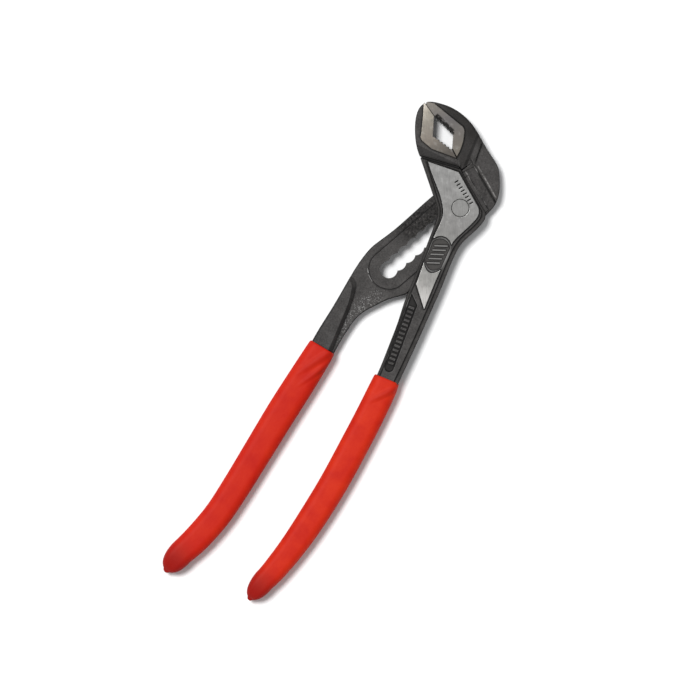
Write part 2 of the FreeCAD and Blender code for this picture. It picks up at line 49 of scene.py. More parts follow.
MID_Z = 0.5 * (BOX_LOW.z + BOX_HIGH.z)
HALF_TALL = 0.5 * (BOX_HIGH.z - BOX_LOW.z) / MM


# ---------------------------------------------------------------- weaving a material

SHADE_SAMPLES = 6
# A line is solid over these parts of its half width and half length
LINE_CORE = 0.4
LINE_RUN = 0.9


class Weave:
    """A material's node tree, built a node at a time. Sizes and places are in millimetres."""

    def __init__(self, name):
        self.material = bpy.data.materials.new(name)
        self.material.use_nodes = True
        self.nodes = self.material.node_tree.nodes
        self.links = self.material.node_tree.links
        self.shader = self.nodes["Principled BSDF"]
        self.place = self.nodes.new("ShaderNodeTexCoord").outputs["Object"]
        self.facing = self.nodes.new("ShaderNodeNewGeometry").outputs["Normal"]

    def plug(self, socket, value):
        if isinstance(value, bpy.types.NodeSocket):
            self.links.new(value, socket)
        else:
            socket.default_value = value

    def math(self, what, a, b=0.0, clamp=False):
        node = self.nodes.new("ShaderNodeMath")
        node.operation = what
        node.use_clamp = clamp
        self.plug(node.inputs[0], a)
        self.plug(node.inputs[1], b)
        return node.outputs[0]

    def times(self, first, *others):
        for other in others:
            first = self.math("MULTIPLY", first, other)
        return first

    def invert(self, value):
        return self.math("SUBTRACT", 1.0, value, clamp=True)

    def either(self, a, b):
        return self.math("MAXIMUM", a, b)

    def over(self, value, level):
        return self.math("GREATER_THAN", value, level)

    def under(self, value, level):
        return self.math("LESS_THAN", value, level)

    def split(self, vector):
        node = self.nodes.new("ShaderNodeSeparateXYZ")
        self.plug(node.inputs[0], vector)
        return node.outputs

    def mapped(self, scale, turn=0.0, shift=(0.0, 0.0, 0.0)):
        """Object coordinates seen from a shifted, turned and scaled frame."""
        node = self.nodes.new("ShaderNodeMapping")
        node.vector_type = "TEXTURE"
        node.inputs["Location"].default_value = [s * MM for s in shift]
        node.inputs["Rotation"].default_value = (0.0, 0.0, math.radians(turn))
        node.inputs["Scale"].default_value = [s * MM for s in scale]
        self.plug(node.inputs["Vector"], self.place)
        return node.outputs[0]

    def noise(self, size, detail, roughness):
        """Noise whose features are about the given size."""
        return self.stretched((size, size, size), 0.0, detail, roughness)

    def stretched(self, size, turn, detail, roughness):
        """Noise drawn out into streaks of the given size along a turned frame."""
        node = self.nodes.new("ShaderNodeTexNoise")
        node.inputs["Scale"].default_value = 1.0
        node.inputs["Detail"].default_value = detail
        node.inputs["Roughness"].default_value = roughness
        self.plug(node.inputs["Vector"], self.mapped(size, turn))
        return node.outputs["Fac"]

    def tones(self, value, stops):
        """Colours at positions along a value, blended between."""
        node = self.nodes.new("ShaderNodeValToRGB")
        elements = node.color_ramp.elements
        while len(elements) < len(stops):
            elements.new(0.5)
        for element, (position, colour) in zip(elements, stops):
            element.position = position
            element.color = (*colour, 1.0)
        self.plug(node.inputs[0], value)
        return node.outputs["Color"]

    def between(self, value, low, high):
        """0 at low and 1 at high, with a smooth step between."""
        node = self.nodes.new("ShaderNodeMapRange")
        node.interpolation_type = "SMOOTHSTEP"
        node.inputs["From Min"].default_value = low
        node.inputs["From Max"].default_value = high
        self.plug(node.inputs["Value"], value)
        return node.outputs["Result"]

    def spread(self, value, low, high):
        """A 0 to 1 value moved to another range."""
        node = self.nodes.new("ShaderNodeMapRange")
        node.inputs["To Min"].default_value = low
        node.inputs["To Max"].default_value = high
        self.plug(node.inputs["Value"], value)
        return node.outputs["Result"]

    def mix(self, factor, a, b):
        node = self.nodes.new("ShaderNodeMix")
        node.data_type = "RGBA"
        self.plug(node.inputs["Factor"], factor)
        self.plug(node.inputs[6], (*a, 1.0) if isinstance(a, tuple) else a)
        self.plug(node.inputs[7], (*b, 1.0) if isinstance(b, tuple) else b)
        return node.outputs[2]

    def lay(self, colour, tone, amount, *masks):
        """A tone laid over a colour, by an amount, where every mask is 1."""
        return self.mix(self.times(amount, *masks), colour, tone)

    def bump(self, height, distance, strength, under):
        node = self.nodes.new("ShaderNodeBump")
        node.inputs["Distance"].default_value = distance * MM
        node.inputs["Strength"].default_value = strength
        self.plug(node.inputs["Height"], height)
        if under is not None:
            self.plug(node.inputs["Normal"], under)
        return node.outputs["Normal"]

    def rounded(self, radius):
        """Normals that run round each edge, as on metal that has been tumbled."""
        node = self.nodes.new("ShaderNodeBevel")
        node.samples = SHADE_SAMPLES
        node.inputs["Radius"].default_value = radius * MM
        return node.outputs["Normal"]

    def hollow(self, reach):
        """1 deep in corners and grooves, 0 on open faces."""
        return self.shelter(reach, False)

    def corner(self, reach):
        """1 along outward edges, 0 on open faces."""
        return self.shelter(reach, True)

    def shelter(self, reach, inside):
        node = self.nodes.new("ShaderNodeAmbientOcclusion")
        node.samples = SHADE_SAMPLES
        node.inside = inside
        node.only_local = True
        node.inputs["Distance"].default_value = reach * MM
        return self.invert(node.outputs["AO"])

    def height(self):
        """Distance above or below the middle of the pliers."""
        z = self.split(self.place)[2]
        return self.math("DIVIDE", self.math("ABSOLUTE", self.math("SUBTRACT", z, MID_Z)), MM)

    def level(self):
        """1 on faces that lie flat, 0 on upright ones."""
        return self.math("ABSOLUTE", self.split(self.facing)[2])

    def along(self, x, y, turn, reach):
        """0 to 1 along a line from a point, towards a heading, over a reach."""
        run = self.split(self.mapped((reach, reach, reach), turn, (x, y, 0.0)))[0]
        return self.math("ADD", run, 0.0, clamp=True)

    def patch(self, x, y, turn, half_long, half_wide, soft):
        """1 inside an oval patch and 0 outside, with a soft border."""
        parts = self.split(self.mapped((half_long, half_wide, 1.0), turn, (x, y, 0.0)))
        squares = self.math("ADD", self.times(parts[0], parts[0]), self.times(parts[1], parts[1]))
        return self.invert(self.between(self.math("SQRT", squares), 1.0 - soft, 1.0 + soft))

    def line(self, a, b, half_wide):
        """1 on a straight line between two points."""
        turn = math.degrees(math.atan2(b[1] - a[1], b[0] - a[0]))
        half_long = 0.5 * math.dist(a, b)
        middle = (0.5 * (a[0] + b[0]), 0.5 * (a[1] + b[1]), 0.0)
        parts = self.split(self.mapped((half_long, half_wide, 1.0), turn, middle))
        across = self.between(self.math("ABSOLUTE", parts[1]), 1.0, LINE_CORE)
        run = self.between(self.math("ABSOLUTE", parts[0]), 1.0, LINE_RUN)
        return self.times(across, run)

    def lines(self, marks):
        """1 on any of several straight lines."""
        found = 0.0
        for mark in marks:
            found = self.either(found, self.line(*mark))
        return found


def coat(obj, material):
    obj.data.materials.clear()
    obj.data.materials.append(material)


# ---------------------------------------------------------------- levels and marks of the forgings

# Heights from the middle of the pliers, in millimetres
PLATEAU_FOOT = HALF_TALL - 0.06
TICK_FLOOR = 4.9
RIB_FOOT = 4.7
PANEL_TOP = 4.35
LEDGE_LOW, LEDGE_HIGH = 4.1, 4.3
FLANK_TOP = 4.05
PLATE_LOW, PLATE_HIGH = 4.06, 4.5
FLANGE_TOP = 2.2

# The jaws lie above this height and left of this line
JAW_Y = 17.6
JAW_X = -9.6

# Oval marks: x and y of the middle, turn in degrees, half length, half width, softness of the border
TICK_ROW = (-1.7, 7.2, -30.5, 8.6, 1.8, 0.15)
EMBLEM_RECESS = (-0.1, -24.0, 90.0, 9.0, 5.0, 0.15)
LEG_PANEL = (1.1, -63.7, -84.4, 19.6, 3.6, 0.12)
HEAD_STEP = (-3.6, 18.6, -53.0, 4.6, 3.4, 0.3)
NECK = (-13.0, -12.0, 50.0, 14.0, 8.0, 0.45)
CROWN = (-18.0, 37.5, -22.0, 15.0, 4.0, 0.5)
BESIDE_PLATE = (-9.6, 26.5, 98.0, 9.0, 3.0, 0.4)
HEAD_BAND = (3.0, 15.0, -35.0, 13.0, 4.0, 0.4)
FLANGE = (-22.0, -67.0, 67.0, 17.0, 5.5, 0.4)

# Line marks: two ends and a half width
# Painted shade lies along the tooth roots and the partings where the jaws meet
TOOTH_ROOTS = [((-29.3, 33.4), (-17.4, 29.3), 0.9), ((-26.1, 24.5), (-15.2, 22.5), 0.3)]
RAGGED_ROOTS = ((-29.1, 34.0), (-17.2, 29.9), 1.15)
TIP_PARTING = ((-36.0, 36.4), (-29.4, 32.9), 0.16)
HEEL_PARTING = [((-15.4, 23.0), (-11.3, 19.9), 0.42), ((-11.7, 20.3), (-7.2, 16.3), 0.6)]
STEP_SHADOW = ((-7.4, 34.0), (-6.4, 17.5), 0.9)
PAD_EDGES = [((-5.8, 16.7), (10.5, 6.2), 0.4), ((-1.5, 21.3), (13.0, 11.3), 0.4),
             ((-3.3, 20.7), (12.6, 10.2), 0.35)]
# Lines where a painted highlight lies on the lower rim round the slot
RIM_EDGES = [((-26.4, -43.6), (-24.2, -46.4), 0.26), ((-24.4, -46.2), (-21.6, -48.2), 0.26)]

# Blacks, as linear colours
PIT_BLACK = (0.003, 0.003, 0.003)
# Near black: painted shade in the teeth, partings, slopes and head step; scale and painted shade on the
# neck; scale on the head band; the panel's floor
DEEP_BLACK = (0.005, 0.0048, 0.0045)
FLANK_BLACK = (0.008, 0.0078, 0.0075)
# Dull black: painted shade beside the upper jaw's plate, and darkening of the ledge and crown
DULL_BLACK = (0.0135, 0.0123, 0.0112)

# Tones at positions along a cloud of noise
SKIN_TONES = [(0.25, (0.037, 0.0352, 0.0342)), (0.5, (0.0535, 0.0505, 0.049)), (0.75, (0.072, 0.068, 0.066))]
PIN_TONES = [(0.3, (0.17, 0.168, 0.162)), (0.7, (0.2, 0.198, 0.192))]

# Coats laid over a colour: tone, and how strongly it shows
GRIND_SHADE = ((0.07, 0.069, 0.067), 0.4)
DARK_STAIN = ((0.10, 0.099, 0.097), 0.4)
LIGHT_STAIN = ((0.6, 0.6, 0.59), 0.16)
# Wear with a painted highlight along the plateau's outward edges
BURNISH_AND_HIGHLIGHT = ((0.7, 0.7, 0.69), 0.55)
# Painted shade in the teeth and where the jaws meet
TOOTH_SHADE = (DEEP_BLACK, 0.93)
LIGHT_GRIT = ((0.105, 0.101, 0.098), 0.5)
DARK_GRIT = ((0.016, 0.0155, 0.015), 0.5)
TICK_INK = (PIT_BLACK, 1.0)
# Painted shade where the jaws meet
PARTING_SHADE = (DEEP_BLACK, 0.9)
# Painted shade on faces that tilt away from flat
SLOPE_SHADE = (DEEP_BLACK, 0.72)
# Wear with a painted highlight along the skin's upper edges
RUB_AND_HIGHLIGHT = ((0.16, 0.155, 0.15), 0.7)
# Painted shade in grooves and corners
GROOVE_SHADE = (PIT_BLACK, 0.93)
# The ledge round the plateau darkened
LEDGE_DARKENING = (DULL_BLACK, 0.2)
# Painted shade on the box half's lower flanks
FLANK_SHADE = (FLANK_BLACK, 0.5)
# The panel's floor darkened
PANEL_DARKENING = (DEEP_BLACK, 0.62)
RECESS_FLOOR = ((0.06, 0.057, 0.054), 0.8)
RIB_TOP = ((0.24, 0.235, 0.23), 0.7)
SCALE_FLECK = ((0.13, 0.122, 0.115), 0.45)
# The crown of the upper jaw darkened
CROWN_DARKENING = (DULL_BLACK, 0.7)
# Painted shade on the slope beside the upper jaw's plate
BESIDE_PLATE_SHADE = (DULL_BLACK, 0.55)
BAND_SOOT = (DEEP_BLACK, 0.3)
# Painted shadow along the head step
STEP_SHADE = (DEEP_BLACK, 0.6)
FLANGE_FLECK = ((0.34, 0.335, 0.33), 0.8)
WORN_EDGE = ((0.3, 0.29, 0.28), 0.65)
# Painted highlight on the lower rim round the slot
RIM_HIGHLIGHT = ((0.42, 0.41, 0.40), 0.8)
# Near black laid over the neck: scale, with painted shade where it runs under the box
NECK_SCALE_AND_SHADE_RANGE = (0.5, 0.96)
# How much the head step is spared the painted shade on slopes and in grooves
STEP_SPARED = 0.8

# Noises: size of a feature in millimetres, detail, roughness
STEEL_STAINS = (3.2, 4.0, 0.6)
PIN_CLOUD = (3.0, 3.0, 0.5)
SKIN_CLOUD = (5.0, 4.0, 0.6)
SKIN_GRIT = (0.7, 4.0, 0.65)
RAGGED_NOISE = (1.0, 2.0, 0.5)
RUB_HIGHLIGHT_NOISE = (2.2, 3.0, 0.6)
SCALE_NOISE = (1.1, 4.0, 0.7)
FLECK_NOISE = (0.8, 3.0, 0.65)
SPECKLE_NOISE = (0.5, 2.0, 0.6)
WORN_NOISE = (1.5, 3.0, 0.6)
RIM_NOISE = (1.2, 3.0, 0.6)

# Steps: the values where a mask is 0 and where it is 1
GRIND_STEP = (0.3, 0.75)
DARK_STAIN_STEP = (0.48, 0.75)
LIGHT_STAIN_STEP = (0.5, 0.2)
BURNISH_HIGHLIGHT_STEP = (0.15, 0.45)
RAGGED_STEP = (0.38, 0.5)
LIGHT_GRIT_STEP = (0.5, 0.75)
DARK_GRIT_STEP = (0.5, 0.3)
SLOPE_STEP = (0.93, 0.6)
RUB_HIGHLIGHT_STEP = (0.15, 0.5)
RUB_HIGHLIGHT_PATCHES = (0.3, 0.65)
UPWARD_STEP = (0.2, 0.6)
GROOVE_STEP = (0.03, 0.2)
SCALE_STEP = (0.4, 0.62)
FLECK_STEP = (0.54, 0.68)
SPECKLE_STEP = (0.55, 0.68)
WORN_STEP = (0.3, 0.6)
RIM_STEP = (0.35, 0.6)
FLAT = 0.9

# How far from an edge or groove its wear with painted highlight, or its painted shade, reaches, in
# millimetres
BURNISH_HIGHLIGHT_REACH = 0.5
RUB_HIGHLIGHT_REACH = 0.6
GROOVE_REACH = 0.95

# The ground faces shade along a line: x, y, heading, reach, and the tones on the way
JAW_RUN = (-36.0, 35.0, -30.0, 24.0)
# Painted highlight: the jaw lighter at its outer edge, darker away from it
JAW_HIGHLIGHT_TONES = [(0.0, (0.45, 0.413, 0.362)), (0.12, (0.30, 0.272, 0.228)), (0.28, (0.222, 0.202, 0.171)),
             (0.6, (0.166, 0.144, 0.122)), (1.0, (0.070, 0.061, 0.052))]
PLATEAU_RUN = (-6.0, 16.0, -83.0, 72.0)
PLATEAU_TONES = [(0.0, (0.217, 0.216, 0.211)), (0.35, (0.193, 0.189, 0.184)), (0.72, (0.238, 0.234, 0.222)),
                 (1.0, (0.60, 0.575, 0.56))]
UPPER_JAW_RUN = (-34.0, 38.0, -45.0, 26.0)
UPPER_JAW_TONES = [(0.0, (0.168, 0.152, 0.132)), (0.4, (0.097, 0.09, 0.0895)), (1.0, (0.127, 0.113, 0.094))]

# Grinding lines run two ways: size of a line, its turn, detail, roughness
GRIND_LINES = ((0.22, 5.0, 5.0), 28.0, 4.0, 0.6)
CROSS_LINES = ((0.35, 4.0, 4.0), -38.0, 3.0, 0.6)
GRIND_DEPTH, GRIND_STRENGTH = 0.01, 0.7
STEEL_SHARE = 0.6
STEEL_ROUGH = (0.26, 0.42)
SKIN_DEPTH = 0.3
SKIN_ROUGH = (0.5, 0.64)
SKIN_SHEEN = 0.1
CLOUD_RELIEF = 0.6
EDGE_ROUND = 0.36
PIN_EDGE_ROUND = 0.1


# ---------------------------------------------------------------- ground steel and black skin

def jaw_plate(w, tall):
    """1 on the two plates ground beside the mouth."""
    x, y, _ = w.split(w.place)
    inside = w.times(w.over(y, JAW_Y * MM), w.under(x, JAW_X * MM))
    return w.times(inside, w.over(tall, PLATE_LOW), w.under(tall, PLATE_HIGH))


def plateau(w, tall):
    """1 on the ground face of the box and its leg."""
    return w.times(w.over(w.level(), FLAT), w.over(tall, PLATEAU_FOOT))


def steel(w, tone):
    """Ground steel: crossed grinding lines and faint stains over a tone."""
    fine = w.stretched(*GRIND_LINES)
    cross = w.stretched(*CROSS_LINES)
    stain = w.noise(*STEEL_STAINS)
    colour = w.lay(tone, *GRIND_SHADE, w.between(fine, *GRIND_STEP))
    colour = w.lay(colour, *DARK_STAIN, w.between(stain, *DARK_STAIN_STEP))
    colour = w.lay(colour, *LIGHT_STAIN, w.between(stain, *LIGHT_STAIN_STEP))
    return colour, w.spread(cross, *STEEL_ROUGH), w.math("ADD", fine, cross)


def steel_wear_and_shade(w, tall, colour, parting):
    """Edges of the plateau burnished bright with a painted highlight, and painted shade in the teeth and
    where the jaws meet.
    """
    clear = w.invert(w.patch(*TICK_ROW))
    # Wear with a painted highlight: outward edges of the plateau lightened
    edges = w.between(w.corner(BURNISH_HIGHLIGHT_REACH), *BURNISH_HIGHLIGHT_STEP)
    colour = w.lay(colour, *BURNISH_AND_HIGHLIGHT, edges, clear, w.over(tall, PLATEAU_FOOT))
    ragged = w.between(w.noise(*RAGGED_NOISE), *RAGGED_STEP)
    roots = w.either(w.lines(TOOTH_ROOTS), w.times(w.line(*RAGGED_ROOTS), ragged))
    meeting = w.either(parting, w.line(*TIP_PARTING))
    # Painted shade: near black along the tooth roots and where the jaws meet
    return w.lay(colour, *TOOTH_SHADE, w.either(roots, meeting))


def skin(w):
    """Black phosphate over forging scale: mottled and gritty."""
    cloud = w.noise(*SKIN_CLOUD)
    grit = w.noise(*SKIN_GRIT)
    colour = w.tones(cloud, SKIN_TONES)
    colour = w.lay(colour, *LIGHT_GRIT, w.between(grit, *LIGHT_GRIT_STEP))
    colour = w.lay(colour, *DARK_GRIT, w.between(grit, *DARK_GRIT_STEP))
    return colour, w.spread(cloud, *SKIN_ROUGH), w.math("ADD", w.times(cloud, CLOUD_RELIEF), grit)


def skin_wear_and_shade(w, tall, colour, parting, marks):
    """Skin with its own marks: painted shade on slopes and in grooves, and wear with a painted highlight
    along its upper edges.
    """
    colour = w.lay(colour, *TICK_INK, w.patch(*TICK_ROW), w.over(tall, TICK_FLOOR))
    # Painted shade along the lines where the jaws meet
    colour = w.lay(marks(w, tall, colour), *PARTING_SHADE, parting)
    # The head step is mostly spared the painted shade on slopes and in grooves
    plain = w.invert(w.times(w.patch(*HEAD_STEP), STEP_SPARED))
    # Painted shade: tilted faces darkened
    colour = w.lay(colour, *SLOPE_SHADE, w.between(w.level(), *SLOPE_STEP), plain)
    # Wear with a painted highlight along outward edges of faces that look up
    rub_and_highlight = w.times(w.between(w.corner(RUB_HIGHLIGHT_REACH), *RUB_HIGHLIGHT_STEP), w.between(w.noise(*RUB_HIGHLIGHT_NOISE), *RUB_HIGHLIGHT_PATCHES))
    colour = w.lay(colour, *RUB_AND_HIGHLIGHT, rub_and_highlight, w.between(w.level(), *UPWARD_STEP))
    # Painted shade: grooves and corners darkened
    return w.lay(colour, *GROOVE_SHADE, w.between(w.hollow(GROOVE_REACH), *GROOVE_STEP), plain)


def forged(name, tone, marks):
    """A forged half: black skin everywhere, steel where it was ground, and the marks of its own use, painted
    shade and highlights among them.
    """
    w = Weave(name)
    tall = w.height()
    ground = w.either(plateau(w, tall), jaw_plate(w, tall))
    black = w.invert(ground)
    parting = w.lines(HEEL_PARTING)
    dark_colour, dark_rough, dark_height = skin(w)
    light_colour, light_rough, light_height = steel(w, tone(w))
    dark_colour = skin_wear_and_shade(w, tall, dark_colour, parting, marks)
    light_colour = steel_wear_and_shade(w, tall, light_colour, parting)
    rough = w.math("ADD", w.times(dark_rough, black), w.times(light_rough, ground))
    normal = w.rounded(EDGE_ROUND)
    normal = w.bump(w.times(dark_height, black), SKIN_DEPTH, 1.0, normal)
    normal = w.bump(w.times(light_height, ground), GRIND_DEPTH, GRIND_STRENGTH, normal)
    w.plug(w.shader.inputs["Base Color"], w.mix(ground, dark_colour, light_colour))
    w.plug(w.shader.inputs["Metallic"], w.times(ground, STEEL_SHARE))
    w.plug(w.shader.inputs["Roughness"], rough)
    w.plug(w.shader.inputs["Normal"], normal)
    w.shader.inputs["Specular IOR Level"].default_value = SKIN_SHEEN
    return w.material


def box_tone(w):
    """The box half's ground faces: jaw lit with a painted highlight at its outer edge, plateau lighter
    towards its lower point.
    """
    x, y, _ = w.split(w.place)
    on_jaw = w.times(w.under(x, JAW_X * MM), w.over(y, JAW_Y * MM))
    # Painted highlight towards the jaw's outer edge
    jaw = w.tones(w.along(*JAW_RUN), JAW_HIGHLIGHT_TONES)
    return w.mix(on_jaw, w.tones(w.along(*PLATEAU_RUN), PLATEAU_TONES), jaw)


def tongue_tone(w):
    return w.tones(w.along(*UPPER_JAW_RUN), UPPER_JAW_TONES)


def box_marks(w, tall, colour):
    """Painted shade on the flanks, a darkened panel floor, and ribs rubbed bright in the emblem's recess."""
    # The ledge round the plateau darkened
    colour = w.lay(colour, *LEDGE_DARKENING, w.over(tall, LEDGE_LOW), w.under(tall, LEDGE_HIGH))
    below_jaw = w.under(w.split(w.place)[1], JAW_Y * MM)
    # Painted shade on the lower flanks below the jaw
    colour = w.lay(colour, *FLANK_SHADE, w.under(tall, FLANK_TOP), below_jaw)
    # The panel's floor darkened
    colour = w.lay(colour, *PANEL_DARKENING, w.patch(*LEG_PANEL), w.under(tall, PANEL_TOP))
    recess = w.patch(*EMBLEM_RECESS)
    colour = w.lay(colour, *RECESS_FLOOR, recess)
    return w.lay(colour, *RIB_TOP, recess, w.over(tall, RIB_FOOT))


def tongue_marks(w, tall, colour):
    """Scale left on the neck and head, with painted shade where the neck runs under the box; painted shade
    beside the plate and at the head step; a darkened crown; bright flecks on the flange, edges worn by the
    box, and a painted highlight on the lower rim.
    """
    scale = w.between(w.noise(*SCALE_NOISE), *SCALE_STEP)
    neck = w.patch(*NECK)
    # Scale, with painted shade where the neck runs under the box
    colour = w.lay(colour, DEEP_BLACK, w.spread(scale, *NECK_SCALE_AND_SHADE_RANGE), neck)
    colour = w.lay(colour, *SCALE_FLECK, neck, w.between(w.noise(*FLECK_NOISE), *FLECK_STEP))
    # The crown of the upper jaw darkened
    colour = w.lay(colour, *CROWN_DARKENING, w.patch(*CROWN))
    # Painted shade on the slope beside the plate
    colour = w.lay(colour, *BESIDE_PLATE_SHADE, w.patch(*BESIDE_PLATE))
    colour = w.lay(colour, *BAND_SOOT, w.patch(*HEAD_BAND), scale)
    # Painted shadow along the head step
    colour = w.lay(colour, *STEP_SHADE, w.line(*STEP_SHADOW))
    speckle = w.between(w.noise(*SPECKLE_NOISE), *SPECKLE_STEP)
    colour = w.lay(colour, *FLANGE_FLECK, w.patch(*FLANGE), speckle, w.under(tall, FLANGE_TOP))
    colour = w.lay(colour, *WORN_EDGE, w.lines(PAD_EDGES), w.between(w.noise(*WORN_NOISE), *WORN_STEP))
    # Painted highlight along the lower rim round the slot
    return w.lay(colour, *RIM_HIGHLIGHT, w.lines(RIM_EDGES), w.between(w.noise(*RIM_NOISE), *RIM_STEP))


def pin_steel():
    w = Weave("pin_steel")
    colour, rough, height = steel(w, w.tones(w.noise(*PIN_CLOUD), PIN_TONES))
    w.plug(w.shader.inputs["Base Color"], colour)
    w.plug(w.shader.inputs["Roughness"], rough)
    w.plug(w.shader.inputs["Normal"], w.bump(height, GRIND_DEPTH, GRIND_STRENGTH, w.rounded(PIN_EDGE_ROUND)))
    w.shader.inputs["Metallic"].default_value = STEEL_SHARE
    return w.material


# ---------------------------------------------------------------- red dipped sleeves

# Centre line stations of the sleeves from the lip down: x, y and half width in millimetres
BOX_SLEEVE = [(4.2, -85.6, 6.1), (4.5, -92.0, 6.5), (4.5, -105.0, 6.65), (4.1, -120.0, 6.72),
              (3.2, -140.0, 6.65), (1.2, -160.0, 6.48), (-1.3, -176.0, 6.0), (-4.3, -189.0, 5.5),
              (-6.0, -194.0, 5.2)]
BOX_TIP = (-8.3, -204.5)
TONGUE_SLEEVE = [(-29.0, -85.4, 6.45), (-29.6, -92.0, 6.75), (-31.0, -105.0, 7.0), (-32.7, -120.0, 7.05),
                 (-34.6, -140.0, 6.85), (-36.5, -160.0, 6.65), (-38.6, -176.0, 6.5), (-42.3, -190.0, 6.35),
                 (-46.0, -199.5, 5.95)]
TONGUE_TIP = (-48.7, -209.8)

# The section's round corners, as a part of its half width, and the spacing of its stations
CORNER_PART = 0.62
CORNER_STEPS = 8
STATION_GAP = 2.5

# The nose closes along a rounded curve and is left blunt for the drip
NOSE_STEPS = 10
NOSE_END = 0.965
NOSE_POWER = 2.2
# The drip left by dipping, as (reach beyond the nose in millimetres, part of the nose's last section)
DRIP = [(0.25, 0.9), (0.7, 0.72), (1.1, 0.48), (1.25, 0.22)]
# The rolled lip, as (distance down the sleeve, how much thinner), both in millimetres
LIP_ROLL = [(1.5, 1.3), (0.5, 1.25), (0.06, 0.95), (0.0, 0.55), (0.2, 0.18), (0.75, 0.0)]

# Creases below the lip: x, y, turn, half length, half width, softness
BOX_CREASES = [(6.8, -91.5, 52.0, 6.0, 1.2, 0.9)]
TONGUE_CREASES = [(-28.4, -91.8, 60.0, 8.0, 1.3, 0.9), (-26.0, -96.5, 62.0, 7.0, 1.0, 0.9)]
CREASE_DEPTH = 0.5

# Vinyl colours, and how far each sleeve leans to the deeper red
VINYL_TONES = [(0.3, (0.46, 0.0115, 0.004)), (0.5, (0.515, 0.0185, 0.005)), (0.7, (0.555, 0.025, 0.006))]
DEEP_RED = (0.40, 0.004, 0.003)
BOX_DEPTH = 0.0
TONGUE_DEPTH = 0.28

# Coats over the vinyl: tone, and how strongly it shows
PEEL_SHADE = ((0.45, 0.012, 0.005), 0.25)
SCUFF_PINK = ((0.8, 0.2, 0.12), 0.1)
# Painted shade towards the tips
TIP_PAINTED_SHADE = ((0.26, 0.006, 0.004), 0.88)
# Painted shade in the creases
FOLD_PAINTED_SHADE = ((0.33, 0.008, 0.005), 0.35)

# The vinyl's noises, the steps in them, and its relief in millimetres
VINYL_CLOUD = (9.0, 4.0, 0.55)
VINYL_PEEL = (1.0, 4.0, 0.6)
VINYL_RIPPLE = (3.5, 3.0, 0.5)
SCUFF_LINES = ((0.35, 2.6, 2.6), 76.0, 4.0, 0.7)
PEEL_STEP = (0.45, 0.8)
SCUFF_STEP = (0.62, 0.72)
SCUFF_PATCHES = (0.5, 0.7)
RIPPLE_RELIEF = 0.9
TIP_OVAL = (0.0, 12.0, 12.0, 0.6)
PEEL_DEPTH, PEEL_STRENGTH = 0.07, 0.9
VINYL_ROUGH = (0.5, 0.62)
VINYL_SHEEN = 0.11


def dipped_vinyl(name, depth, creases, tip):
    """Dipped vinyl: slow colour drift, orange-peel skin, scuffs, the creases near its lip with painted shade
    in them, and painted shade towards the tip.
    """
    w = Weave(name)
    cloud = w.noise(*VINYL_CLOUD)
    peel = w.noise(*VINYL_PEEL)
    colour = w.mix(depth, w.tones(cloud, VINYL_TONES), DEEP_RED)
    colour = w.lay(colour, *PEEL_SHADE, w.between(peel, *PEEL_STEP))
    scuff = w.between(w.stretched(*SCUFF_LINES), *SCUFF_STEP)
    colour = w.lay(colour, *SCUFF_PINK, scuff, w.between(cloud, *SCUFF_PATCHES))
    # Painted shade towards the tip
    colour = w.lay(colour, *TIP_PAINTED_SHADE, w.patch(*tip, *TIP_OVAL))
    fold = 0.0
    for crease in creases:
        fold = w.math("ADD", fold, w.patch(*crease))
    # Painted shade in the creases
    colour = w.lay(colour, *FOLD_PAINTED_SHADE, fold)
    ripple = w.math("ADD", peel, w.times(w.noise(*VINYL_RIPPLE), RIPPLE_RELIEF))
    normal = w.bump(fold, CREASE_DEPTH, 1.0, None)
    w.plug(w.shader.inputs["Base Color"], colour)
    w.plug(w.shader.inputs["Roughness"], w.spread(peel, *VINYL_ROUGH))
    w.plug(w.shader.inputs["Normal"], w.bump(ripple, PEEL_DEPTH, PEEL_STRENGTH, normal))
    w.shader.inputs["Specular IOR Level"].default_value = VINYL_SHEEN
    return w.material


def smooth_between(a, b, c, d, t):
    """A smooth curve through b and c, at t from 0 to 1."""
    def blend(p, q, r, s):
        pull = (r - p) * t
        bend = (2 * p - 5 * q + 4 * r - s) * t * t
        return 0.5 * (2 * q + pull + bend + (3 * q - p - 3 * r + s) * t ** 3)
    return tuple(blend(*values) for values in zip(a, b, c, d))


def shaft_rows(stations):
    """Close stations from the lip to where the nose starts: x, y, half width and half height."""
    rows = []
    for i in range(len(stations) - 1):
        before = stations[max(i - 1, 0)]
        beyond = stations[min(i + 2, len(stations) - 1)]
        steps = max(2, round((stations[i][1] - stations[i + 1][1]) / STATION_GAP))
        for k in range(steps):
            row = smooth_between(before, stations[i], stations[i + 1], beyond, k / steps)
            rows.append((*row, HALF_TALL))
    return rows


def nose_rows(last, tip):
    """Stations that close round the end of the leg, then run out in the drip."""
    rows = []
    ahead = Vector((tip[0] - last[0], tip[1] - last[1]))
    for k in range(NOSE_STEPS + 1):
        part = NOSE_END * math.sin(0.5 * math.pi * k / NOSE_STEPS)
        shrink = (1.0 - part ** NOSE_POWER) ** (1.0 / NOSE_POWER)
        x = last[0] + ahead.x * part
        y = last[1] + ahead.y * part
        rows.append((x, y, last[2] * shrink, HALF_TALL * shrink))
    x, y, wide, tall = rows[-1]
    ahead.normalize()
    drip = [(x + ahead.x * reach, y + ahead.y * reach, wide * part, tall * part) for reach, part in DRIP]
    return rows + drip


def sleeve_rows(stations, tip):
    """All the stations of a sleeve, starting inside its rolled lip."""
    rows = shaft_rows(stations) + nose_rows(stations[-1], tip)
    x, y, wide, tall = rows[0]
    run = Vector((rows[1][0] - x, rows[1][1] - y)).normalized()
    lip = [(x + run.x * slip, y + run.y * slip, wide - thin, tall - thin) for slip, thin in LIP_ROLL]
    return lip + rows[1:]


